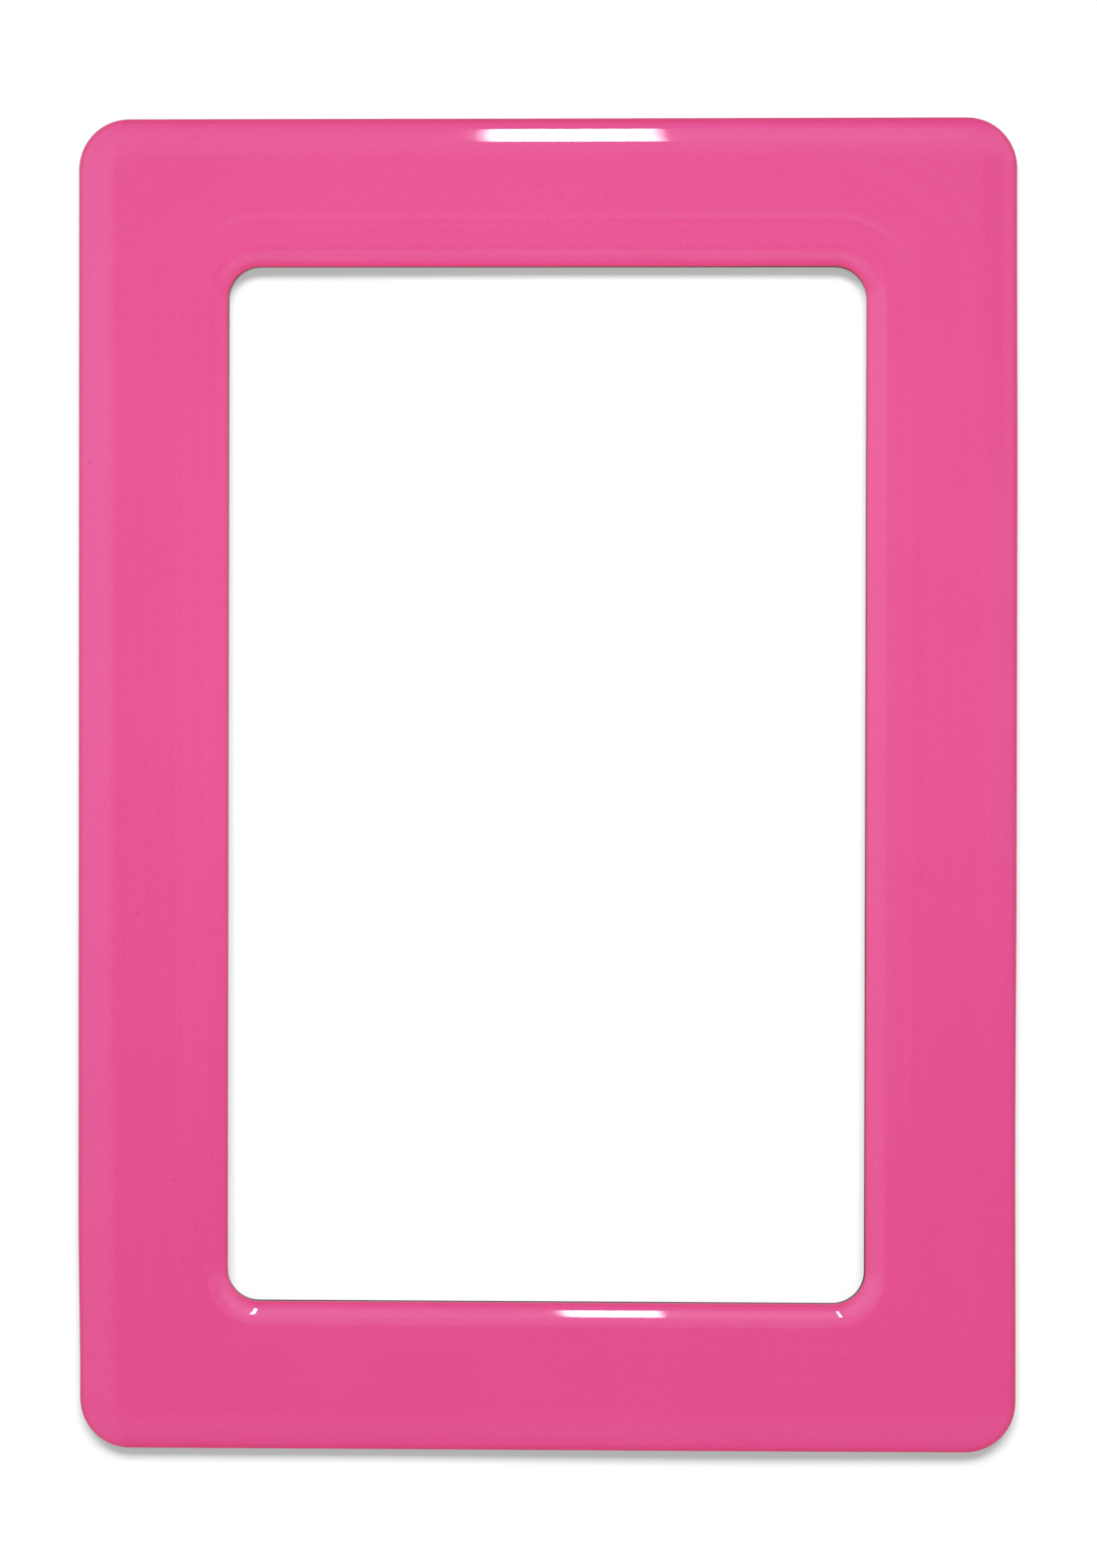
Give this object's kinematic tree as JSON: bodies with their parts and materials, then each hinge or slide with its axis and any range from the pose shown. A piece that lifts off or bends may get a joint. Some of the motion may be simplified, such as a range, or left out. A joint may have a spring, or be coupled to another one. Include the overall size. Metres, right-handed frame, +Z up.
{
  "type": "magnetic photo frame",
  "caption": "Open portrait photo frame: a glossy domed front shell bonded with foam tape to a flat flexible magnet sheet, which holds a print against steel.",
  "frame": {"origin": "middle of the frame, in the plane of the magnetic back that lies against the steel", "axes": "+Z up the frame's height, +X to the right as seen from the front, +Y out of the back towards the steel; the glossy front faces -Y"},
  "size_m": [0.1178, 0.0033, 0.167],
  "materials": {
    "shell_plastic": "opaque pink, moulded, high gloss",
    "ferrite_magnet": "dark brown-black, matt, calendered",
    "foam_tape": "white closed-cell foam"
  },
  "bodies": {
    "root": {"front_shell": "shell_plastic", "magnet_sheet": "ferrite_magnet", "tape_left": "foam_tape", "tape_right": "foam_tape", "tape_top": "foam_tape", "tape_bottom": "foam_tape"}
  },
  "joints": []
}
